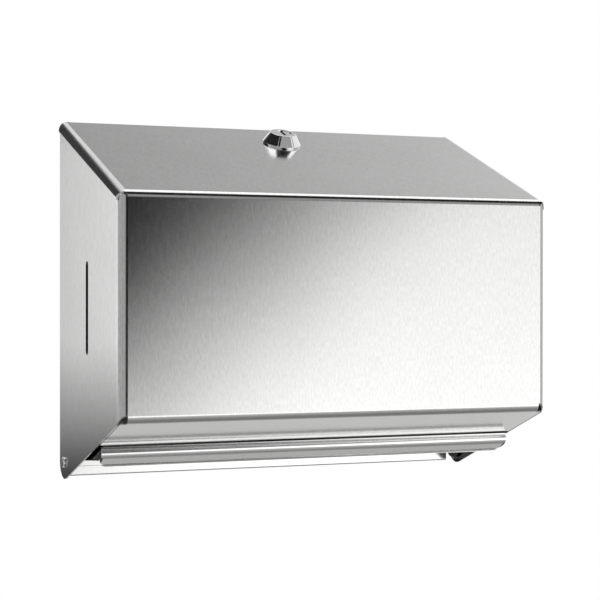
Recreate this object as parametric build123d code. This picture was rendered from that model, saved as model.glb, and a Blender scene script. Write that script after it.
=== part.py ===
from build123d import *
import math
import os

# Wall dispenser for folded paper towels, in folded stainless steel sheet, sizes in millimetres.
# X runs to the right as seen from the front, Y back into the wall and Z up.
# The wall is the plane Y = 0, and the origin is the middle of the four wall-screw holes.

# Cover: front, sides, sloping top and bottom flange, folded from one sheet
cover_width = 279.0
cover_depth = 127.0
front_height = 130.7
top_rise = 50.5
bottom_drop = 48.0
cover_sheet = 0.8
cover_fold = 4.2
cover_hem = 7.0
wall_gap = 0.5
roll_radius = 5.8
roll_lap = 0.4
corner_gap = 0.6
corner_relief = 0.8
corner_lean = 0.5
flange_gap = 0.5
heel_radius = 10.5
slot_width = 5.0
slot_height = 56.0
slot_reach = 61.5
slot_rise = 112.0

# Back plate with its top flange, hinge ears and wall-screw holes
plate_sheet = 1.0
plate_fold = 1.2
plate_rise = 5.5
plate_flange = 10.0
plate_room = 2.0
plate_hem = 6.0
ear_radius = 7.0
ear_rise = 16.0
ear_relief = 1.5
screw_rise = 120.0
screw_spacing_x = 203.0
screw_spacing_z = 127.0
screw_hole = 6.4

# Pivots: shoulder rivets fixed in the ears, with a spacer washer behind each side of the cover
rivet_shoulder = 5.0
rivet_neck = 4.0
rivet_head = 6.8
rivet_head_height = 1.3
rivet_crown = 1.0
rivet_tail = 6.4
rivet_tail_height = 1.1
pivot_fit = 0.06
pivot_play = 0.2
head_play = 0.1
washer_outside = 11.0
washer_thickness = 0.5

# Towel tray with its rolled front lip and rimmed opening
tray_sheet = 0.8
tray_fold = 1.2
tray_gap = 0.3
floor_rise = 34.2
lip_reach = 82.5
lip_height = 16.0
lip_flat = 0.2
lip_return = 10.0
lip_corner = 5.0
lip_gap = 1.5
cheek_drop = 12.4
cheek_fall = 4.6
cheek_relief = 1.5
cap_gap = 0.3
rear_flange = 15.6
opening_width = 180.0
opening_depth = 40.0
opening_reach = 24.0
opening_corner = 14.0
rim_radius = 3.0
rim_drop = 6.0

# Lock in the top: conical head, barrel, plug with wafers, stop washer and cam
lock_reach = 30.0
head_radius = 12.4
head_top_radius = 8.2
head_height = 7.4
head_rim = 1.0
head_edge = 0.5
barrel_radius = 9.0
barrel_flat = 7.8
barrel_length = 20.0
barrel_fit = 0.1
plug_radius = 5.6
plug_fit = 0.06
plug_recess = 0.4
plug_gap = 0.2
tail_side = 7.0
tail_fit = 0.05
keyway_width = 1.9
keyway_height = 8.4
keyway_depth = 17.0
wafer_count = 5
wafer_thickness = 1.0
wafer_width = 6.4
wafer_fit = 0.05
wafer_pitch = 2.6
wafer_first = 3.0
window_width = 2.8
window_height = 5.4
groove_depth = 1.4
groove_fit = 0.3
post_height = 0.8
post_inside = 6.6
post_width = 3.0
post_play = 0.3
stop_thickness = 1.0
stop_radius = 8.6
cam_thickness = 2.0
cam_width = 11.0
cam_hub_radius = 6.5
cam_reach = 19.0
cam_washer_radius = 5.0
cam_washer_thickness = 0.8
screw_radius = 2.0
screw_length = 7.0
screw_head_radius = 4.2
screw_head_height = 2.4
screw_head_edge = 0.9
screw_slot_width = 1.0
screw_slot_depth = 1.2
nut_across = 24.0
nut_height = 4.5
lock_washer_radius = 12.6
lock_washer_thickness = 1.0

# Strike on the back plate, which the turned cam stands behind
strike_sheet = 1.5
strike_fold = 1.5
strike_foot = 18.0
strike_lip = 9.0
strike_width = 10.0
strike_side_gap = 1.5
strike_front_gap = 0.8
strike_floor_gap = 1.5

# How far cuts run past the faces that they open
overrun = 5.0

# Levels and slopes of the outline seen from the side
corner_z = -screw_rise
front_bottom_z = corner_z + bottom_drop
front_top_z = front_bottom_z + front_height
top_z = front_top_z + top_rise
top_angle = math.atan2(top_rise, cover_depth)
bottom_angle = math.atan2(bottom_drop, cover_depth)
top_cos, top_sin = math.cos(top_angle), math.sin(top_angle)
bottom_cos, bottom_sin = math.cos(bottom_angle), math.sin(bottom_angle)
quarter_turn = math.pi / 2


def top_height(y):
    return top_z + y * top_rise / cover_depth


def bottom_height(y):
    return corner_z - y * bottom_drop / cover_depth


# Places that several pieces share
fold_outer = cover_fold + cover_sheet
top_tangent = fold_outer * math.tan((quarter_turn - top_angle) / 2)
bottom_tangent = fold_outer * math.tan((quarter_turn - bottom_angle) / 2)
side_out = cover_width / 2 - cover_sheet
side_in = side_out - cover_sheet
flat_half = cover_width / 2 - roll_radius
flange_half = side_in - flange_gap
pivot_y = -(wall_gap + heel_radius)
pivot_z = bottom_height(pivot_y) + heel_radius / bottom_cos
ear_out = side_in - washer_thickness - pivot_play
ear_in = ear_out - plate_sheet
plate_face = -plate_sheet
plate_bottom = corner_z + plate_rise
plate_top = top_height(-plate_flange) - 2 * cover_sheet / top_cos - plate_room
tray_half = ear_in - tray_gap
floor_z = corner_z + floor_rise
lip_radius = (lip_height - lip_flat) / 2
lip_centre_z = floor_z - lip_height / 2
lip_swing = math.hypot(lip_reach + pivot_y, lip_centre_z - pivot_z)
flange_run = math.sqrt((lip_swing + lip_gap) ** 2 - heel_radius**2)
flange_edge_y = pivot_y - heel_radius * bottom_sin - flange_run * bottom_cos
flange_edge_z = bottom_height(flange_edge_y)
lock_plane = Plane(
    origin=(0, -lock_reach, top_height(-lock_reach)),
    x_dir=(1, 0, 0),
    z_dir=(0, -top_sin, top_cos),
)


def folded_face(points, inside, thickness):
    # A folded sheet's section: the sheet lies to the left of the path, with these inside radii.
    steps = [(q[0] - p[0], q[1] - p[1]) for p, q in zip(points, points[1:])]
    units = [(a / math.hypot(a, b), b / math.hypot(a, b)) for a, b in steps]
    lefts = [(-b, a) for a, b in units]
    near = []
    far = []
    offset = [(points[0][0] + thickness * lefts[0][0], points[0][1] + thickness * lefts[0][1])]
    for place, radius in enumerate(inside):
        (a, b), (c, d) = lefts[place], lefts[place + 1]
        share = thickness / (1 + a * c + b * d)
        corner = points[place + 1]
        offset.append((corner[0] + share * (a + c), corner[1] + share * (b + d)))
        turns_left = units[place][0] * units[place + 1][1] > units[place][1] * units[place + 1][0]
        near.append(radius + thickness if turns_left else radius)
        far.append(radius if turns_left else radius + thickness)
    end = points[-1]
    offset.append((end[0] + thickness * lefts[-1][0], end[1] + thickness * lefts[-1][1]))
    path = FilletPolyline(*points, radius=near)
    back = FilletPolyline(*offset, radius=far)
    caps = [Line(path @ 1, back @ 1), Line(path @ 0, back @ 0)]
    return make_face([*path.edges(), *back.edges(), *caps])


def hemmed_face(length, hem, thickness):
    # A flat sheet's section along +X, with its edge at X = 0 folded flat onto the +Y face.
    low = (Align.MIN, Align.MIN)
    sheet = Pos(thickness, 0) * Rectangle(length - thickness, thickness, align=low)
    fold = Pos(thickness, 0) * Rectangle(hem - thickness, 2 * thickness, align=low)
    return sheet + fold + Pos(thickness, thickness) * Circle(thickness)


def both_sides(shape):
    return shape + mirror(shape, about=Plane.YZ)


def block(x_range, y_range, z_range):
    size = [high - low for low, high in (x_range, y_range, z_range)]
    corner = (x_range[0], y_range[0], z_range[0])
    return Pos(*corner) * Box(*size, align=(Align.MIN, Align.MIN, Align.MIN))


def across_x(radius, reach, y, z):
    # A round bar along X through both sides.
    return Pos(0, y, z) * Rot(0, 90, 0) * Cylinder(radius, 2 * reach)


def cover_shell():
    # Front with its upper and lower folds
    top_lead = top_tangent + 2 * cover_sheet
    bottom_lead = bottom_tangent + corner_relief + cover_sheet
    wrap = [
        (top_lead * top_cos - cover_depth, front_top_z + top_lead * top_sin),
        (-cover_depth, front_top_z),
        (-cover_depth, front_bottom_z),
        (bottom_lead * bottom_cos - cover_depth, front_bottom_z - bottom_lead * bottom_sin),
    ]
    front_section = folded_face(wrap, [cover_fold, cover_fold], cover_sheet)
    shell = extrude(Plane.YZ * front_section, flat_half, both=True)

    # Sloping top, hemmed at the wall
    rear_y = -(wall_gap + 2 * cover_sheet * top_sin)
    slope_length = (cover_depth + rear_y) / top_cos
    rear = Plane(
        origin=(0, rear_y, top_height(rear_y)),
        x_dir=(0, -top_cos, -top_sin),
        z_dir=(1, 0, 0),
    )
    top_section = hemmed_face(slope_length - top_tangent, cover_hem, cover_sheet)
    shell += extrude(rear * top_section, flat_half, both=True)

    # Rolled side edges of the top, lapped over the sides and cut round at the front corners
    roll_path = [
        (cover_width / 2, -(roll_radius + roll_lap)),
        (cover_width / 2, 0),
        (flat_half - cover_sheet, 0),
    ]
    roll_start = Plane(
        origin=(0, rear_y, top_height(rear_y)),
        x_dir=(1, 0, 0),
        z_dir=(0, -top_cos, -top_sin),
    )
    roll_section = folded_face(roll_path, [roll_radius - cover_sheet], cover_sheet)
    within = [(-cover_depth, corner_z), (-cover_depth, front_top_z), (0, top_z), (0, corner_z)]
    within_face = make_face(FilletPolyline(*within, radius=[0, fold_outer, 0, 0], close=True))
    roll = extrude(roll_start * roll_section, slope_length)
    roll = roll & extrude(Plane.YZ * within_face, cover_width)
    front_corner = Rectangle(roll_radius, roll_radius, align=(Align.MAX, Align.MIN))
    front_corner -= Pos(-roll_radius, roll_radius) * Circle(roll_radius)
    roll -= Pos(cover_width / 2, -cover_depth, corner_z) * extrude(front_corner, top_z - corner_z)
    roll -= block((0, cover_width), (-wall_gap, cover_depth), (corner_z, top_z))
    shell += both_sides(roll)

    # Sides, folded back from the front and trimmed to the side outline
    notch_y = fold_outer + corner_gap - cover_depth
    front_end = -cover_depth - overrun
    relief_z = front_bottom_z + bottom_tangent + corner_relief
    lap = roll_radius / top_cos
    mitre_y = corner_lean - cover_depth
    mitre_lap = (roll_radius - fold_outer + corner_lean) / top_cos
    outline = [
        (-wall_gap, top_height(-wall_gap) - lap),
        (notch_y, top_height(notch_y) - lap),
        (mitre_y, top_height(mitre_y) - mitre_lap - corner_gap),
        (-cover_depth, front_top_z - top_tangent),
        (front_end, front_top_z - top_tangent),
        (front_end, relief_z),
        (-cover_depth, relief_z),
        (notch_y, bottom_height(notch_y)),
        (-wall_gap, bottom_height(-wall_gap)),
    ]
    corners = [0] * (len(outline) - 1) + [heel_radius]
    side_face = make_face(FilletPolyline(*outline, radius=corners, close=True))
    bend_path = [
        (flat_half - cover_sheet, -cover_depth),
        (side_out, -cover_depth),
        (side_out, -wall_gap),
    ]
    bend_section = folded_face(bend_path, [cover_fold], cover_sheet)
    bend = Pos(0, 0, corner_z) * extrude(bend_section, top_z - corner_z)
    shell += both_sides(bend & extrude(Plane.YZ * side_face, cover_width))

    # Bottom flange, hemmed at its lower edge
    flange_length = math.hypot(cover_depth + flange_edge_y, flange_edge_z - front_bottom_z)
    flange_plane = Plane(
        origin=(0, flange_edge_y, flange_edge_z),
        x_dir=(0, -bottom_cos, bottom_sin),
        z_dir=(-1, 0, 0),
    )
    flange_section = hemmed_face(
        flange_length - bottom_tangent - corner_relief, cover_hem, cover_sheet
    )
    shell += extrude(flange_plane * flange_section, flange_half, both=True)

    # Lock hole, sight slots and pivot holes
    hole = Circle(barrel_radius + barrel_fit) & Rectangle(
        2 * (barrel_flat + barrel_fit), 2 * head_radius
    )
    shell -= extrude(lock_plane * hole, overrun, both=True)
    slot = Plane.YZ * Pos(-slot_reach, corner_z + slot_rise) * SlotOverall(
        slot_height, slot_width, rotation=90
    )
    shell -= extrude(slot, cover_width, both=True)
    shell -= across_x(rivet_shoulder / 2 + pivot_fit, cover_width, pivot_y, pivot_z)
    return shell


def back_plate():
    bend = plate_fold + plate_sheet
    ear_reach = ear_radius - pivot_y
    ear_top = pivot_z + ear_rise
    ear_bottom = pivot_z - ear_radius
    path = [
        (0, plate_bottom + plate_sheet),
        (0, plate_top),
        (-plate_flange, plate_top),
    ]
    plate = extrude(Plane.YZ * folded_face(path, [plate_fold], plate_sheet), ear_out, both=True)
    hem_plane = Plane(origin=(0, 0, plate_bottom), x_dir=(0, 0, 1), z_dir=(1, 0, 0))
    hem_section = hemmed_face(plate_hem, plate_hem, plate_sheet)
    plate += extrude(hem_plane * hem_section, ear_out, both=True)

    # Hinge ears, bent forward at the lower corners beside a relief
    plate -= both_sides(
        block(
            (ear_out - bend, ear_out + overrun),
            (-overrun, overrun),
            (plate_bottom - overrun, ear_top + ear_relief),
        )
    )
    ear_path = [
        (ear_out, -ear_reach),
        (ear_out, 0),
        (ear_out - bend - plate_sheet, 0),
    ]
    ear_section = folded_face(ear_path, [plate_fold], plate_sheet)
    ear = Pos(0, 0, ear_bottom) * extrude(ear_section, ear_top - ear_bottom)
    outline = Pos(-ear_reach, ear_bottom) * Rectangle(
        ear_reach, ear_top - ear_bottom, align=(Align.MIN, Align.MIN)
    )
    rounded = outline.vertices().group_by(Axis.X)[0] + outline.vertices().group_by(Axis.Y)[0]
    outline = fillet(set(rounded), ear_radius)
    ear = ear & extrude(Plane.YZ * outline, cover_width)
    plate += both_sides(ear)

    plate -= across_x(rivet_neck / 2, cover_width, pivot_y, pivot_z)
    grid = GridLocations(screw_spacing_x, screw_spacing_z, 2, 2)
    holes = Sketch() + [place * Circle(screw_hole / 2) for place in grid]
    plate -= extrude(Plane.XZ * holes, overrun, both=True)
    return plate


def towel_tray():
    bend = tray_fold + tray_sheet
    path = [
        (plate_face, floor_z - rear_flange),
        (plate_face, floor_z),
        (-lip_reach, floor_z),
        (-lip_reach, floor_z - lip_height),
        (lip_return - lip_reach, floor_z - lip_height),
    ]
    lip_inside = lip_radius - tray_sheet
    section = folded_face(path, [tray_fold, lip_inside, lip_inside], tray_sheet)
    tray = extrude(Plane.YZ * section, tray_half, both=True)

    # Rounded lower corners of the lip
    corner = Rectangle(lip_corner, lip_corner, align=(Align.MAX, Align.MIN))
    corner -= Pos(-lip_corner, lip_corner) * Circle(lip_corner)
    corner_at = Plane(
        origin=(tray_half, -lip_reach - overrun, floor_z - lip_height),
        x_dir=(1, 0, 0),
        z_dir=(0, -1, 0),
    )
    tray -= both_sides(extrude(corner_at * corner, -(lip_return + 2 * overrun)))

    # Cheeks, bent down at the ends between the lip and the hinge ears
    cheek_front = lip_radius + cheek_relief - lip_reach
    cheek_back = pivot_y - ear_radius - cheek_relief
    tray -= both_sides(
        block(
            (tray_half - bend, tray_half + overrun),
            (cheek_front - cheek_relief, cheek_back + cheek_relief),
            (floor_z - overrun, floor_z + overrun),
        )
    )
    cheek_low = floor_z - cheek_drop - cheek_fall
    cheek_path = [
        (tray_half, cheek_low),
        (tray_half, floor_z),
        (tray_half - bend - tray_sheet, floor_z),
    ]
    cheek_section = folded_face(cheek_path, [tray_fold], tray_sheet)
    cheek = extrude(Plane.XZ.offset(-cheek_back) * cheek_section, cheek_back - cheek_front)

    # Each cheek closes the lip's end, and its lower edge falls towards the wall
    cap = Pos(lip_radius - lip_reach, lip_centre_z) * Circle(lip_inside - cap_gap)
    cheek += extrude(Plane.YZ.offset(tray_half - tray_sheet) * cap, tray_sheet)
    below = [
        (-lip_reach, floor_z - cheek_drop),
        (cheek_front, floor_z - cheek_drop),
        (cheek_back, cheek_low),
        (cheek_back, cheek_low - lip_height),
        (-lip_reach, cheek_low - lip_height),
    ]
    cheek -= extrude(Plane.YZ * make_face(Polyline(*below, close=True)), cover_width)
    tray += both_sides(cheek)

    # Rear corners, clear of the bends of the hinge ears
    tray -= both_sides(
        block(
            (ear_in - plate_fold - tray_gap, ear_out),
            (plate_face - plate_fold - tray_gap, overrun),
            (floor_z - rear_flange - overrun, floor_z + overrun),
        )
    )

    # Opening that the towels are drawn through, with its edge rolled down
    middle_y = -(opening_reach + opening_depth / 2)
    wide = RectangleRounded(
        opening_width + 2 * rim_radius, opening_depth + 2 * rim_radius, opening_corner + rim_radius
    )
    tray -= Pos(0, middle_y, floor_z) * extrude(wide, overrun, both=True)
    half_x, half_y = opening_width / 2, opening_depth / 2
    loop = [
        (0, half_y),
        (half_x, half_y),
        (half_x, -half_y),
        (-half_x, -half_y),
        (-half_x, half_y),
        (-opening_corner, half_y),
    ]
    around = FilletPolyline(*loop, radius=opening_corner)
    around = Wire([*around.edges(), Line(around @ 1, around @ 0)])
    rim_path = [(rim_radius + tray_sheet, 0), (0, 0), (0, -rim_drop)]
    rim_section = folded_face(rim_path, [rim_radius - tray_sheet], tray_sheet)
    rim_plane = Plane(origin=(0, half_y, 0), x_dir=(0, 1, 0), z_dir=(1, 0, 0))
    rim = sweep(rim_plane * rim_section, path=around)
    tray += Pos(0, middle_y, floor_z) * rim
    return tray


def pivot_rivet():
    # Right-hand rivet: clenched tail, neck in the ear, shoulder in the cover and domed head
    shoulder_length = side_out + head_play - ear_out
    on_top = (Align.CENTER, Align.CENTER, Align.MIN)
    tail = Pos(0, 0, -rivet_tail_height) * Cylinder(rivet_tail / 2, rivet_tail_height, align=on_top)
    neck = Cylinder(rivet_neck / 2, plate_sheet, align=on_top)
    shoulder = Pos(0, 0, plate_sheet) * Cylinder(rivet_shoulder / 2, shoulder_length, align=on_top)
    head = Cylinder(rivet_head / 2, rivet_head_height, align=on_top)
    head = fillet(head.edges().sort_by(Axis.Z)[-1], rivet_crown)
    rivet = tail + neck + shoulder + Pos(0, 0, plate_sheet + shoulder_length) * head
    return Location(Plane(origin=(ear_in, pivot_y, pivot_z), z_dir=(1, 0, 0))) * rivet


def pivot_washer():
    ring = Circle(washer_outside / 2) - Circle(rivet_shoulder / 2 + pivot_fit)
    return extrude(Plane(origin=(ear_out, pivot_y, pivot_z), z_dir=(1, 0, 0)) * ring, washer_thickness)


# Lock pieces are built with Z along the lock's axis, outwards, and the cover's face at Z = 0
def plug_end():
    return -(barrel_length + plug_gap)


def wafer_heights():
    return [-(wafer_first + step * wafer_pitch) for step in range(wafer_count)]


def lock_body():
    outline = [
        (0, 0),
        (head_radius, 0),
        (head_radius, head_rim),
        (head_top_radius, head_height),
        (0, head_height),
    ]
    half = FilletPolyline(*outline, radius=[0, head_edge, head_edge])
    half = make_face([*half.edges(), Line(half @ 1, half @ 0)])
    body = revolve(Plane.XZ * half, Axis.Z)
    barrel = Circle(barrel_radius) & Rectangle(2 * barrel_flat, 2 * head_radius)
    body += extrude(barrel, -barrel_length)

    # Stop post on the barrel's end
    post = Pos(0, -post_inside) * Rectangle(
        post_width, head_radius, align=(Align.CENTER, Align.MAX)
    )
    body += Pos(0, 0, -barrel_length) * extrude(post & Circle(barrel_radius), -post_height)

    # Bore for the plug, with the grooves that the wafers drop into
    body -= Cylinder(plug_radius + plug_fit, 2 * (barrel_length + head_height))
    groove_width = wafer_width + groove_fit
    groove_length = wafer_pitch * wafer_count
    groove = Rectangle(groove_width, 2 * (plug_radius + groove_depth))
    start = wafer_thickness - wafer_first
    body -= Pos(0, 0, start) * extrude(groove, -(groove_length + wafer_thickness))
    return body


def lock_plug():
    top = head_height - plug_recess
    plug = Pos(0, 0, plug_end()) * Cylinder(
        plug_radius, top - plug_end(), align=(Align.CENTER, Align.CENTER, Align.MIN)
    )
    tail_length = stop_thickness + cam_thickness
    plug += Pos(0, 0, plug_end()) * extrude(Rectangle(tail_side, tail_side), -tail_length)
    keyway = Rectangle(keyway_width, keyway_height)
    plug -= Pos(0, 0, top) * extrude(keyway, -keyway_depth)
    gap = wafer_thickness + 2 * wafer_fit
    for height in wafer_heights():
        across = Rectangle(wafer_width + 2 * wafer_fit, 2 * plug_radius + overrun)
        plug -= Pos(0, 0, height + wafer_fit) * extrude(across, -gap)
    plug -= Pos(0, 0, plug_end() - tail_length) * extrude(Circle(screw_radius), screw_length)
    return plug


def lock_wafer(height):
    reach = math.sqrt((plug_radius - wafer_fit) ** 2 - (wafer_width / 2) ** 2)
    wafer = Rectangle(wafer_width, 2 * reach) - Rectangle(window_width, window_height)
    return Pos(0, 0, height) * extrude(wafer, -wafer_thickness)


def stop_washer():
    # The gap in the rim lets the washer turn a quarter round the post
    disc = Circle(stop_radius) - Rectangle(tail_side + 2 * tail_fit, tail_side + 2 * tail_fit)
    half_angle = math.degrees(math.asin((post_width / 2 + post_play) / post_inside))
    start, sweep_angle = -90 - half_angle, 90 + 2 * half_angle
    arc = CenterArc((0, 0), stop_radius + overrun, start, sweep_angle)
    sector = make_face([arc, Line(arc @ 1, (0, 0)), Line((0, 0), arc @ 0)])
    disc -= sector - Circle(post_inside - post_play)
    return Pos(0, 0, plug_end()) * extrude(disc, -stop_thickness)


def cam_top():
    return plug_end() - stop_thickness


def lock_cam():
    arm_length = cam_reach - cam_width / 2
    arm = Rectangle(cam_width, arm_length, align=(Align.CENTER, Align.MIN))
    plate = Circle(cam_hub_radius) + arm + Pos(0, arm_length) * Circle(cam_width / 2)
    plate -= Rectangle(tail_side + 2 * tail_fit, tail_side + 2 * tail_fit)
    return Pos(0, 0, cam_top()) * extrude(plate, -cam_thickness)


def cam_washer():
    ring = Circle(cam_washer_radius) - Circle(screw_radius + tail_fit)
    return Pos(0, 0, cam_top() - cam_thickness) * extrude(ring, -cam_washer_thickness)


def cam_screw():
    seat = cam_top() - cam_thickness - cam_washer_thickness
    on_top = (Align.CENTER, Align.CENTER, Align.MIN)
    head = Cylinder(screw_head_radius, screw_head_height, align=on_top)
    head = fillet(head.edges().sort_by(Axis.Z)[0], screw_head_edge)
    head -= Box(2 * screw_head_radius, screw_slot_width, 2 * screw_slot_depth)
    shank = Cylinder(screw_radius, screw_length + cam_washer_thickness, align=on_top)
    return Pos(0, 0, seat - screw_head_height) * head + Pos(0, 0, seat) * shank


def lock_nut():
    outline = RegularPolygon(nut_across / 2, 6, major_radius=False, rotation=30)
    nut = extrude(outline - Circle(barrel_radius + barrel_fit), -nut_height)
    wide = nut_across / 2 + nut_height * math.sqrt(3)
    nut = nut & Pos(0, 0, -nut_height / 2) * Cone(nut_across / 2, wide, nut_height)
    return Pos(0, 0, -(cover_sheet + lock_washer_thickness)) * nut


def lock_washer():
    ring = Circle(lock_washer_radius) - Circle(barrel_radius + barrel_fit)
    return Pos(0, 0, -cover_sheet) * extrude(ring, -lock_washer_thickness)


def lock_strike():
    # Corners of the turned cam's section, nearest the strike's lip and floor
    side = cam_width / 2
    axis_y, axis_z = -lock_reach, top_height(-lock_reach)
    deep = cam_thickness - cam_top()
    cam_front = axis_y - cam_top() * top_sin - side * top_cos
    cam_low = axis_z - deep * top_cos - side * top_sin
    shelf = cam_low - strike_floor_gap
    lip = cam_front - strike_front_gap
    path = [
        (plate_face, shelf - strike_foot),
        (plate_face, shelf),
        (lip, shelf),
        (lip, shelf + strike_lip),
    ]
    section = folded_face(path, [strike_fold, strike_fold], strike_sheet)
    start = barrel_radius + strike_side_gap
    return Pos(start, 0, 0) * extrude(Plane.YZ * section, strike_width)


lock_at = Location(lock_plane)
right_rivet = pivot_rivet()
right_washer = pivot_washer()

nodes = {
    "back_plate": back_plate(),
    "towel_tray": towel_tray(),
    "lock_strike": lock_strike(),
    "right_pivot_rivet": right_rivet,
    "left_pivot_rivet": mirror(right_rivet, about=Plane.YZ),
    "right_pivot_washer": right_washer,
    "left_pivot_washer": mirror(right_washer, about=Plane.YZ),
    "cover_shell": cover_shell(),
    "lock_body": lock_at * lock_body(),
    "lock_nut": lock_at * lock_nut(),
    "lock_washer": lock_at * lock_washer(),
    "lock_plug": lock_at * lock_plug(),
    "stop_washer": lock_at * stop_washer(),
    "lock_cam": lock_at * lock_cam(),
    "cam_washer": lock_at * cam_washer(),
    "cam_screw": lock_at * cam_screw(),
}
for number, height in enumerate(wafer_heights(), start=1):
    nodes[f"lock_wafer_{number}"] = lock_at * lock_wafer(height)

os.makedirs("parts", exist_ok=True)
for name, shape in nodes.items():
    export_step(shape, f"parts/{name}.step")
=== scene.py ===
import bpy
import math
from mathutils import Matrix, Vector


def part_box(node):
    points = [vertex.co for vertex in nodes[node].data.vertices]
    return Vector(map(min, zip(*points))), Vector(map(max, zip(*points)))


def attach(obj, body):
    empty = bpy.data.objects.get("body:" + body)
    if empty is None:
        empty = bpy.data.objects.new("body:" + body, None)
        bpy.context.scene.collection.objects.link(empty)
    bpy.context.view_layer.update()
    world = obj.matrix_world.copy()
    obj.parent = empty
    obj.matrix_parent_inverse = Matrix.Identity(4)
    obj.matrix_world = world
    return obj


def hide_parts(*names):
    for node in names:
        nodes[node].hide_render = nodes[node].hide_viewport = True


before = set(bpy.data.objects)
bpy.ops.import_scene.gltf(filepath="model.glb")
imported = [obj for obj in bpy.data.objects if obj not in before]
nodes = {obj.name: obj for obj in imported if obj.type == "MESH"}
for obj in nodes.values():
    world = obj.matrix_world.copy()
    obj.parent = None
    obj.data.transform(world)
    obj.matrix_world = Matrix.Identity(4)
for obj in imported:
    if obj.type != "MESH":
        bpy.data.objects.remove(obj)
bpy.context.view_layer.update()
print("frame loaded:", len(nodes), "CAD nodes")


def clearSelection():
    if bpy.context.object and bpy.context.object.mode != "OBJECT":
        bpy.ops.object.mode_set(mode="OBJECT")
    bpy.ops.object.select_all(action="DESELECT")


def addNode(tree, kind, **settings):
    node = tree.nodes.new(kind)
    for name, value in settings.items():
        setattr(node, name, value)
    return node


def feed(tree, socket, value):
    if isinstance(value, bpy.types.NodeSocket):
        tree.links.new(value, socket)
    else:
        socket.default_value = value


def addMath(tree, operation, first, second=0.0, clamp=False):
    node = addNode(tree, "ShaderNodeMath", operation=operation, use_clamp=clamp)
    feed(tree, node.inputs[0], first)
    feed(tree, node.inputs[1], second)
    return node.outputs[0]


def blendValues(tree, first, second, share):
    firstPart = addMath(tree, "MULTIPLY", first, share)
    secondPart = addMath(tree, "MULTIPLY", second, 1.0 - share)
    return addMath(tree, "ADD", firstPart, secondPart)


def addNoise(group, vector, scale, detail, rough):
    noise = addNode(group, "ShaderNodeTexNoise", noise_dimensions="3D")
    group.links.new(vector, noise.inputs["Vector"])
    feed(group, noise.inputs["Scale"], scale)
    noise.inputs["Detail"].default_value = detail
    noise.inputs["Roughness"].default_value = rough
    return noise.outputs["Fac"]


def newGroup(name, inputs, outputs):
    group = bpy.data.node_groups.new(name, "ShaderNodeTree")
    for way, names in (("INPUT", inputs), ("OUTPUT", outputs)):
        for socketName in names:
            group.interface.new_socket(socketName, in_out=way, socket_type="NodeSocketFloat")
    return group, addNode(group, "NodeGroupInput"), addNode(group, "NodeGroupOutput")


# brushed grain: short fine lines that run up the front and sides and fore-aft on the slopes
grainSet = {
    "sideFacing": 0.7,
    "sideShift": 7.3,
    "fine": {"scale": 1.0, "detail": 3.0, "rough": 0.6},
    "wide": {"scale": 0.5, "detail": 2.0, "rough": 0.5},
    "fineShare": 0.6,
}


def makeBrushedGrain():
    group, given, result = newGroup(
        "brushedGrain", ("Lines per metre", "Length"), ("Tone", "Height", "Streak")
    )
    place = addNode(group, "ShaderNodeTexCoord")
    parts = addNode(group, "ShaderNodeSeparateXYZ")
    facing = addNode(group, "ShaderNodeSeparateXYZ")
    group.links.new(place.outputs["Object"], parts.inputs[0])
    group.links.new(place.outputs["Normal"], facing.inputs[0])
    sideways = addMath(group, "ABSOLUTE", facing.outputs["X"])
    onSide = addMath(group, "GREATER_THAN", sideways, grainSet["sideFacing"])
    offSide = addMath(group, "SUBTRACT", 1.0, onSide)
    across = addMath(
        group,
        "ADD",
        addMath(group, "MULTIPLY", parts.outputs["X"], offSide),
        addMath(group, "MULTIPLY", parts.outputs["Y"], onSide),
    )
    foreAft = addMath(group, "MULTIPLY", parts.outputs["Y"], offSide)
    along = addMath(group, "SUBTRACT", parts.outputs["Z"], foreAft)
    lines = given.outputs["Lines per metre"]
    stretch = addMath(group, "DIVIDE", lines, given.outputs["Length"])
    shift = addMath(group, "MULTIPLY", onSide, grainSet["sideShift"])
    spread = addNode(group, "ShaderNodeCombineXYZ")
    group.links.new(addMath(group, "MULTIPLY", across, lines), spread.inputs["X"])
    group.links.new(addMath(group, "MULTIPLY", along, stretch), spread.inputs["Y"])
    group.links.new(shift, spread.inputs["Z"])
    fine = addNoise(group, spread.outputs[0], **grainSet["fine"])
    wide = addNoise(group, spread.outputs[0], **grainSet["wide"])
    tone = blendValues(group, fine, wide, grainSet["fineShare"])
    group.links.new(tone, result.inputs["Tone"])
    group.links.new(fine, result.inputs["Height"])
    group.links.new(wide, result.inputs["Streak"])
    return group


# soft marks: broad, faint patches left by wiping and handling
marksSet = {"detail": 4.0, "rough": 0.55}


def makeSoftMarks():
    group, given, result = newGroup("softMarks", ("Size",), ("Mark",))
    place = addNode(group, "ShaderNodeTexCoord")
    mark = addNoise(group, place.outputs["Object"], given.outputs["Size"], **marksSet)
    group.links.new(mark, result.inputs["Mark"])
    return group


brushedGrain = makeBrushedGrain()
softMarks = makeSoftMarks()
print("shared effects built")


def emptyTree(owner):
    owner.use_nodes = True
    owner.node_tree.nodes.clear()
    return owner.node_tree


def newMaterial(name):
    material = bpy.data.materials.new(name)
    tree = emptyTree(material)
    shader = addNode(tree, "ShaderNodeBsdfPrincipled")
    output = addNode(tree, "ShaderNodeOutputMaterial")
    tree.links.new(shader.outputs[0], output.inputs["Surface"])
    return material, tree, shader


def useGroup(tree, group, **values):
    node = addNode(tree, "ShaderNodeGroup", node_tree=group)
    for name, value in values.items():
        node.inputs[name.replace("_", " ")].default_value = value
    return node.outputs


# noise keeps mostly within these two values
noiseLow, noiseHigh = 0.3, 0.7


def rangeOf(tree, value, low, high, fromLow=noiseLow, fromHigh=noiseHigh):
    node = addNode(tree, "ShaderNodeMapRange")
    tree.links.new(value, node.inputs["Value"])
    for name, number in (
        ("From Min", fromLow),
        ("From Max", fromHigh),
        ("To Min", low),
        ("To Max", high),
    ):
        node.inputs[name].default_value = number
    return node.outputs["Result"]


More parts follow.
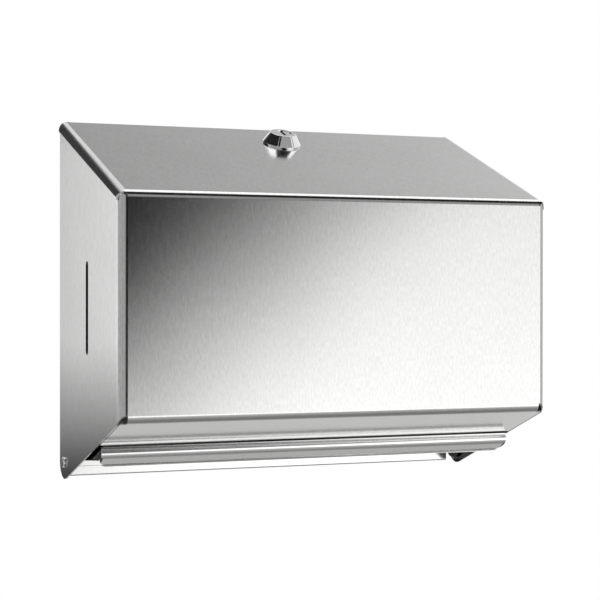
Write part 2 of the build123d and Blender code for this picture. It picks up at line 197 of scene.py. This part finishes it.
def mixColour(tree, factor, first, second):
    node = addNode(tree, "ShaderNodeMix", data_type="RGBA")
    tree.links.new(factor, node.inputs["Factor"])
    for name, colour in (("A", first), ("B", second)):
        feed(tree, node.inputs[name], (*colour, 1.0) if isinstance(colour, tuple) else colour)
    return node.outputs["Result"]


def toneColour(tree, tone, finish):
    return mixColour(tree, rangeOf(tree, tone, 0.0, 1.0), finish["dark"], finish["light"])


def addBump(tree, shader, height, depth):
    bump = addNode(tree, "ShaderNodeBump")
    bump.inputs["Strength"].default_value = 1.0
    bump.inputs["Distance"].default_value = depth
    tree.links.new(height, bump.inputs["Height"])
    tree.links.new(bump.outputs["Normal"], shader.inputs["Normal"])


# painted shade: steel close behind the cover's sides, where hardly any light comes in, gets a
# near-black colour mixed into its base colour
# limits along each axis: from, to, and how softly they fade
def paintShadeBehindSides(tree, colour, ends):
    place = addNode(tree, "ShaderNodeTexCoord")
    parts = addNode(tree, "ShaderNodeSeparateXYZ")
    tree.links.new(place.outputs["Object"], parts.inputs[0])
    values = {
        "across": addMath(tree, "ABSOLUTE", parts.outputs["X"]),
        "along": parts.outputs["Y"],
        "up": parts.outputs["Z"],
    }
    paintedShadeMask = 1.0
    for axis, (low, high, soft) in ends["limits"].items():
        for fromLimit in (
            addMath(tree, "SUBTRACT", values[axis], low),
            addMath(tree, "SUBTRACT", high, values[axis]),
        ):
            within = addMath(tree, "DIVIDE", fromLimit, soft, clamp=True)
            paintedShadeMask = addMath(tree, "MULTIPLY", paintedShadeMask, within)
    return mixColour(tree, paintedShadeMask, colour, ends["colour"])


sheetMarks = {"size": 14.0, "grainShare": 0.75, "streakShare": 0.5}


def makeSheetSteel(name, finish):
    material, tree, shader = newMaterial(name)
    grain = useGroup(
        tree,
        brushedGrain,
        Lines_per_metre=finish["linesPerMetre"],
        Length=finish["grainLength"],
    )
    mark = useGroup(tree, softMarks, Size=sheetMarks["size"])["Mark"]
    tone = blendValues(tree, grain["Tone"], mark, sheetMarks["grainShare"])
    # painted shade: the tone colour is darkened inside the zones set by the finish's painted
    # shade limits
    colour = paintShadeBehindSides(tree, toneColour(tree, tone, finish), finish["ends"])
    tree.links.new(colour, shader.inputs["Base Color"])
    streak = blendValues(tree, grain["Streak"], mark, sheetMarks["streakShare"])
    tree.links.new(rangeOf(tree, streak, *finish["rough"]), shader.inputs["Roughness"])
    shader.inputs["Metallic"].default_value = 1.0
    addBump(tree, shader, grain["Height"], finish["grainDepth"])
    return material


satinSteel = {"linesPerMetre": 1500.0, "grainLength": 4.5, "grainDepth": 0.0000022}

coverSheet = {
    **satinSteel,
    "dark": (0.54, 0.54, 0.535),
    "light": (0.69, 0.69, 0.685),
    "rough": (0.125, 0.15),
    # painted shadow: near-black on the inner faces of the cover's sides, low and close to the
    # hinge
    "ends": {
        "limits": {
            "across": (0.136, 0.1384, 0.0002),
            "along": (-0.075, 0.001, 0.01),
            "up": (-0.13, -0.08, 0.01),
        },
        "colour": (0.05, 0.05, 0.05),
    },
}
coverSteel = makeSheetSteel("coverSteel", coverSheet)

traySheet = {
    **satinSteel,
    "dark": (0.72, 0.72, 0.715),
    "light": (0.86, 0.86, 0.855),
    "rough": (0.15, 0.2),
    # painted shade: near-black on the tray's end cheeks, close behind the cover's sides
    "ends": {
        "limits": {"across": (0.1345, 0.15, 0.0001), "along": (-0.0815, 0.001, 0.0001)},
        "colour": (0.02, 0.02, 0.02),
    },
}
traySteel = makeSheetSteel("traySteel", traySheet)

plateSheet = {
    "dark": (0.66, 0.66, 0.65),
    "light": (0.72, 0.72, 0.71),
    "rough": (0.15, 0.18),
    "linesPerMetre": 900.0,
    "grainLength": 25.0,
    "grainDepth": 0.0000012,
    # painted shade: near-black on the back plate's ears, close behind the cover's sides
    "ends": {
        "limits": {"across": (0.1345, 0.15, 0.0001), "along": (-0.1, -0.0025, 0.0001)},
        "colour": (0.02, 0.02, 0.02),
    },
}
millSteel = makeSheetSteel("millSteel", plateSheet)
print("sheet steel made")

plainMetal = {"metallic": 1.0, "markSize": 260.0, "markDepth": 0.000004}
plainFinishes = {
    "lockChrome": {
        **plainMetal,
        "dark": (0.74, 0.74, 0.755),
        "light": (0.82, 0.82, 0.83),
        "rough": (0.05, 0.1),
    },
    "rivetSteel": {
        **plainMetal,
        "dark": (0.6, 0.6, 0.6),
        "light": (0.72, 0.72, 0.715),
        "rough": (0.16, 0.26),
    },
    "zincSteel": {
        **plainMetal,
        "dark": (0.5, 0.525, 0.55),
        "light": (0.66, 0.67, 0.68),
        "rough": (0.26, 0.4),
    },
    "lockBrass": {
        **plainMetal,
        "dark": (0.6, 0.44, 0.18),
        "light": (0.76, 0.6, 0.3),
        "rough": (0.22, 0.34),
    },
    "spacerNylon": {
        "metallic": 0.0,
        "markSize": 600.0,
        "markDepth": 0.00002,
        "dark": (0.74, 0.74, 0.71),
        "light": (0.86, 0.86, 0.84),
        "rough": (0.4, 0.55),
    },
}


def makePlain(name, finish):
    material, tree, shader = newMaterial(name)
    mark = useGroup(tree, softMarks, Size=finish["markSize"])["Mark"]
    tree.links.new(toneColour(tree, mark, finish), shader.inputs["Base Color"])
    tree.links.new(rangeOf(tree, mark, *finish["rough"]), shader.inputs["Roughness"])
    shader.inputs["Metallic"].default_value = finish["metallic"]
    addBump(tree, shader, mark, finish["markDepth"])
    return material


plain = {name: makePlain(name, finish) for name, finish in plainFinishes.items()}

finishes = {
    "cover_shell": coverSteel,
    "towel_tray": traySteel,
    "back_plate": millSteel,
    "lock_strike": plain["zincSteel"],
    "lock_body": plain["lockChrome"],
    "lock_plug": plain["lockChrome"],
    "lock_nut": plain["zincSteel"],
    "lock_washer": plain["zincSteel"],
    "stop_washer": plain["zincSteel"],
    "lock_cam": plain["zincSteel"],
    "cam_washer": plain["zincSteel"],
    "cam_screw": plain["zincSteel"],
}
for side in ("left", "right"):
    finishes[f"{side}_pivot_rivet"] = plain["rivetSteel"]
    finishes[f"{side}_pivot_washer"] = plain["spacerNylon"]
for number in range(1, 6):
    finishes[f"lock_wafer_{number}"] = plain["lockBrass"]
for name, node in nodes.items():
    node.data.materials.clear()
    node.data.materials.append(finishes[name])
print("finishes given to", len(finishes), "nodes")


def selectWhere(piece, kind, test):
    clearSelection()
    piece.select_set(True)
    bpy.context.view_layer.objects.active = piece
    kinds = ("vertices", "edges", "faces")
    bpy.context.tool_settings.mesh_select_mode = tuple(kind == each for each in kinds)
    mesh = piece.data
    for group in (mesh.vertices, mesh.edges, mesh.polygons):
        group.foreach_set("select", [False] * len(group))
    if kind == "vertices":
        for vertex in mesh.vertices:
            vertex.select = test(vertex.co)
    elif kind == "edges":
        for edge in mesh.edges:
            edge.select = all(test(mesh.vertices[index].co) for index in edge.vertices)
    else:
        for face in mesh.polygons:
            face.select = test(face.center)
    bpy.ops.object.mode_set(mode="EDIT")


# towel tray's lip: an apron falls from the floor to a short brow, the brow meets a narrow roll
# at a crease, and the sheet returns under the roll
trayLow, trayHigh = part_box("towel_tray")
trayLip = {
    "cutAt": -0.0744,
    "sheet": 0.0008,
    "rollRadius": 0.004,
    "rollDrop": 0.0076,
    "rollSteps": 24,
    "rollLean": 28.0,
    "browLean": 4.0,
    "browHeight": 0.0018,
    "returnFall": 32.0,
    "returnLength": 0.0088,
    "cornerRadius": 0.0078,
    "cornerSteps": 8,
    "noseLength": 0.0062,
    "noseShare": 0.44,
    "noseHeight": -0.0943,
    "near": 0.00005,
    "merge": 0.000001,
    "smoothTurn": 30.0,
}
lipWidth = trayHigh[0]
rollY = trayLow[1] + trayLip["rollRadius"]
rollZ = trayHigh[2] - trayLip["rollDrop"]


def makeTrayLip():
    lean = math.radians(trayLip["browLean"])
    startTurn = math.pi - math.radians(trayLip["rollLean"])
    touch = (
        rollY + trayLip["rollRadius"] * math.cos(startTurn),
        rollZ + trayLip["rollRadius"] * math.sin(startTurn),
    )
    rise = (trayLip["browHeight"] * math.sin(lean), trayLip["browHeight"] * math.cos(lean))
    brow = (touch[0] + rise[0], touch[1] + rise[1])
    middle = ((brow[0] + trayLip["cutAt"]) / 2, (brow[1] + trayHigh[2]) / 2)
    length = math.hypot(brow[0] - trayLip["cutAt"], brow[1] - trayHigh[2])
    fall = math.atan2(trayHigh[2] - brow[1], trayLip["cutAt"] - brow[0])
    clearSelection()
    bpy.ops.mesh.primitive_plane_add(
        size=1.0, location=(0, middle[0], middle[1]), rotation=(fall, 0, 0)
    )
    lip = bpy.context.object
    lip.scale = (2 * lipWidth, length, 1.0)
    bpy.ops.object.transform_apply(location=True, rotation=True, scale=True)
    selectWhere(lip, "edges", lambda spot: spot.y < brow[0] + trayLip["near"])
    bpy.ops.mesh.extrude_region_move(
        TRANSFORM_OT_translate={"value": (0, -rise[0], -rise[1])}
    )
    down = math.radians(trayLip["returnFall"])
    endTurn = 1.5 * math.pi - down
    bpy.ops.mesh.spin(
        steps=trayLip["rollSteps"],
        angle=endTurn - startTurn,
        center=(0, rollY, rollZ),
        axis=(-1, 0, 0),
    )
    run = trayLip["returnLength"]
    bpy.ops.mesh.extrude_region_move(
        TRANSFORM_OT_translate={"value": (0, run * math.cos(down), -run * math.sin(down))}
    )
    bpy.ops.object.mode_set(mode="OBJECT")
    lowest = min(vertex.co.z for vertex in lip.data.vertices)
    selectWhere(lip, "vertices", lambda spot: spot.z < lowest + trayLip["near"])
    bpy.ops.mesh.bevel(
        offset=trayLip["cornerRadius"], segments=trayLip["cornerSteps"], affect="VERTICES"
    )
    bpy.ops.mesh.select_all(action="SELECT")
    bpy.ops.mesh.remove_doubles(threshold=trayLip["merge"])
    bpy.ops.mesh.normals_make_consistent(inside=False)
    bpy.ops.object.mode_set(mode="OBJECT")
    foremost = min(lip.data.polygons, key=lambda face: face.center.y)
    if foremost.normal.y > 0:
        bpy.ops.object.mode_set(mode="EDIT")
        bpy.ops.mesh.flip_normals()
        bpy.ops.object.mode_set(mode="OBJECT")
    wall = lip.modifiers.new("wall", "SOLIDIFY")
    wall.thickness = trayLip["sheet"]
    wall.offset = -1.0
    bpy.ops.object.modifier_apply(modifier="wall")
    return lip


def makeTray():
    lip = makeTrayLip()
    clearSelection()
    nodes["towel_tray"].select_set(True)
    bpy.context.view_layer.objects.active = nodes["towel_tray"]
    bpy.ops.object.duplicate()
    tray = bpy.context.object
    tray.name = "towelTray"
    bpy.ops.object.mode_set(mode="EDIT")
    bpy.ops.mesh.select_all(action="SELECT")
    bpy.ops.mesh.remove_doubles(threshold=trayLip["merge"])
    bpy.ops.mesh.bisect(
        plane_co=(0, trayLip["cutAt"], 0), plane_no=(0, 1, 0), use_fill=True, clear_inner=True
    )
    bpy.ops.object.mode_set(mode="OBJECT")
    cheekLine = lipWidth - trayLip["sheet"] - trayLip["near"]
    cutLine = trayLip["cutAt"] + trayLip["near"]
    selectWhere(tray, "faces", lambda spot: abs(spot.x) > cheekLine and spot.y < cutLine)
    bpy.ops.mesh.extrude_region_move(
        TRANSFORM_OT_translate={"value": (0, -trayLip["noseLength"], 0)}
    )
    bpy.ops.transform.resize(
        value=(1, 1, trayLip["noseShare"]), center_override=(0, 0, trayLip["noseHeight"])
    )
    bpy.ops.object.mode_set(mode="OBJECT")
    clearSelection()
    lip.select_set(True)
    tray.select_set(True)
    bpy.context.view_layer.objects.active = tray
    bpy.ops.object.join()
    bpy.ops.object.shade_smooth_by_angle(angle=math.radians(trayLip["smoothTurn"]))
    tray.data.materials.clear()
    tray.data.materials.append(traySteel)
    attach(tray, "wall_unit")
    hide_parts("towel_tray")
    return tray


towelTray = makeTray()
print("towel tray's lip rolled:", len(towelTray.data.polygons), "faces")

# camera at the photograph's viewing angle
cameraSet = {
    "place": (-0.4239, -1.0519, 0.0017),
    "lens": 102.84,
    "sensor": 36.0,
    "yaw": 23.15,
    "pitch": 0.27,
    "roll": -0.04,
}
clearSelection()
bpy.ops.object.camera_add(
    location=cameraSet["place"],
    rotation=(
        math.radians(90.0 - cameraSet["pitch"]),
        math.radians(cameraSet["roll"]),
        math.radians(-cameraSet["yaw"]),
    ),
)
camera = bpy.context.object
camera.data.sensor_width = cameraSet["sensor"]
camera.data.lens = cameraSet["lens"]
bpy.context.scene.camera = camera

# white surroundings, also as metal shows them
worldSet = {"shown": 1.0, "light": 0.9}
world = bpy.data.worlds.new("whiteStudio")
bpy.context.scene.world = world
tree = emptyTree(world)
path = addNode(tree, "ShaderNodeLightPath")
shown = addMath(tree, "MAXIMUM", path.outputs["Is Camera Ray"], path.outputs["Is Glossy Ray"])
shown = addMath(tree, "MAXIMUM", shown, path.outputs["Is Transmission Ray"])
strength = rangeOf(tree, shown, worldSet["light"], worldSet["shown"], 0.0, 1.0)
background = addNode(tree, "ShaderNodeBackground")
background.inputs["Color"].default_value = (1.0, 1.0, 1.0, 1.0)
tree.links.new(strength, background.inputs["Strength"])
output = addNode(tree, "ShaderNodeOutputWorld")
tree.links.new(background.outputs[0], output.inputs["Surface"])

# pale floor, below the frame of the photograph
floorSet = {
    "height": -0.47,
    "radius": 1.2,
    "sides": 96,
    "dark": (0.82, 0.82, 0.81),
    "light": (0.84, 0.84, 0.83),
    "rough": 0.9,
    "markSize": 6.0,
}
clearSelection()
bpy.ops.mesh.primitive_circle_add(
    vertices=floorSet["sides"],
    radius=floorSet["radius"],
    fill_type="NGON",
    location=(0, 0, floorSet["height"]),
)
floor = bpy.context.object
floor.name = "floor"
paleFloor, tree, shader = newMaterial("paleFloor")
mark = useGroup(tree, softMarks, Size=floorSet["markSize"])["Mark"]
tree.links.new(toneColour(tree, mark, floorSet), shader.inputs["Base Color"])
shader.inputs["Roughness"].default_value = floorSet["rough"]
floor.data.materials.append(paleFloor)

# faint soft lamp in front and to the right
keyLamp = {"place": (1.0, -2.2, 0.0), "size": (2.6, 2.0), "glow": 0.15}
clearSelection()
bpy.ops.object.light_add(type="AREA", location=keyLamp["place"])
light = bpy.context.object
light.name = "keyLamp"
light.data.shape = "RECTANGLE"
light.data.size, light.data.size_y = keyLamp["size"]
light.data.energy = keyLamp["glow"] * math.pi * keyLamp["size"][0] * keyLamp["size"][1]
light.visible_camera = False
light.rotation_euler = (-light.location).to_track_quat("-Z", "Y").to_euler()

# studio cards, seen only as reflections: they shade or light one side of the surroundings
# shade runs from one end of a card to the other, and fade gives the soft edge across it
studioCards = {
    "frontFlag": {
        "place": (0.02, -1.6, 0.65),
        "turn": (90.0, -43.0, 0.0),
        "half": (1.6, 1.3),
        "shade": (0.0, 0.0),
        "fade": (-0.752, -0.504),
    },
    "frontGlow": {
        "place": (0.6, -1.65, -0.35),
        "turn": (90.0, 0.0, 0.0),
        "half": (1.8, 0.75),
        "shade": (1.75, 1.75),
        "fade": (1.0, 0.067),
    },
    "frontSky": {
        "place": (0.5, -1.5, 0.69),
        "turn": (90.0, 0.0, 0.0),
        "half": (1.8, 0.41),
        "shade": (0.4, 0.4),
        "fade": (-1.0, -0.75),
    },
    "highShade": {
        "place": (0.5, -0.9, 1.25),
        "turn": (0.0, 0.0, 0.0),
        "half": (1.8, 0.5),
        "shade": (0.02, 0.02),
        "fade": (1.0, 0.8),
    },
    "bendGlow": {
        "place": (-0.85, -1.35, 0.0),
        "turn": (90.0, 90.0, 0.0),
        "half": (0.4, 0.6),
        "shade": (0.5, 0.5),
        "fade": (1.0, 0.3),
    },
    "leftShade": {
        "place": (-1.5, -0.35, 0.0),
        "turn": (90.0, 0.0, 90.0),
        "half": (1.4, 0.5),
        "shade": (0.5, 0.58),
        "fade": (-1.0, -0.98),
    },
    "leftDark": {
        "place": (-1.5, 0.2, 1.35),
        "turn": (90.0, 0.0, 90.0),
        "half": (1.9, 0.75),
        "shade": (0.02, 0.02),
        "fade": (-1.0, -0.9),
    },
    "rightShade": {
        "place": (1.7, 0.1, 0.0),
        "turn": (90.0, 0.0, 90.0),
        "half": (1.3, 0.55),
        "shade": (0.75, 0.55),
        "fade": (-1.0, -0.98),
    },
    "topGlow": {
        "place": (0.3, -0.2, 2.0),
        "turn": (0.0, 0.0, 0.0),
        "half": (1.5, 0.8),
        "shade": (1.7, 1.7),
        "fade": (-1.0, -0.8),
    },
    "topShade": {
        "place": (1.15, 1.3, 1.2),
        "turn": (180.0, 0.0, 0.0),
        "half": (1.0, 0.9),
        "shade": (0.4, 1.0),
        "fade": (-1.0, -0.8),
    },
    "rollShade": {
        "place": (-1.2, 1.5, 0.98),
        "turn": (90.0, 0.0, 0.0),
        "half": (0.8, 0.72),
        "shade": (0.06, 0.06),
        "fade": (1.0, 0.6),
    },
    "sideTone": {
        "place": (-0.65, 1.55, -0.05),
        "turn": (90.0, 0.0, 0.0),
        "half": (0.45, 0.5),
        "shade": (1.97, 0.0),
        "fade": (-1.0, -0.98),
    },
    "sideShade": {
        "place": (-0.85, 1.5, -0.7),
        "turn": (-90.0, 0.0, 0.0),
        "half": (0.8, 0.64),
        "shade": (0.05, 0.05),
        "fade": (-0.97, -0.66),
    },
    "frontFloor": {
        "place": (0.2, -0.5, -0.455),
        "turn": (0.0, 0.0, 0.0),
        "half": (1.6, 0.35),
        "shade": (0.28, 0.28),
        "fade": (-1.0, 0.8),
    },
    "underShade": {
        "place": (0.2, 0.1, -0.455),
        "turn": (0.0, 0.0, 0.0),
        "half": (1.6, 0.25),
        "shade": (0.28, 0.28),
        "fade": (1.0, -0.6),
    },
    "lowGlow": {
        "place": (0.2, -1.35, -0.365),
        "turn": (90.0, 0.0, 0.0),
        "half": (1.6, 0.095),
        "shade": (1.75, 1.75),
        "fade": (1.0, 0.5),
    },
}


def makeCard(name, card):
    clearSelection()
    bpy.ops.mesh.primitive_plane_add(size=2.0, location=card["place"])
    plane = bpy.context.object
    plane.name = name
    plane.rotation_euler = [math.radians(angle) for angle in card["turn"]]
    plane.scale = (*card["half"], 1.0)
    material = bpy.data.materials.new(name)
    tree = emptyTree(material)
    place = addNode(tree, "ShaderNodeTexCoord")
    parts = addNode(tree, "ShaderNodeSeparateXYZ")
    tree.links.new(place.outputs["Object"], parts.inputs[0])
    cover = rangeOf(tree, parts.outputs["Y"], 0.0, 1.0, *card["fade"])
    shade = rangeOf(tree, parts.outputs["X"], *card["shade"], -1.0, 1.0)
    glow = addNode(tree, "ShaderNodeEmission")
    tree.links.new(shade, glow.inputs["Strength"])
    clear = addNode(tree, "ShaderNodeBsdfTransparent")
    mixed = addNode(tree, "ShaderNodeMixShader")
    tree.links.new(cover, mixed.inputs["Fac"])
    tree.links.new(clear.outputs[0], mixed.inputs[1])
    tree.links.new(glow.outputs[0], mixed.inputs[2])
    output = addNode(tree, "ShaderNodeOutputMaterial")
    tree.links.new(mixed.outputs[0], output.inputs["Surface"])
    plane.data.materials.append(material)
    plane.visible_camera = plane.visible_diffuse = False


for name, card in studioCards.items():
    makeCard(name, card)

bpy.context.scene.view_settings.view_transform = "Standard"
print("camera, floor and light set")
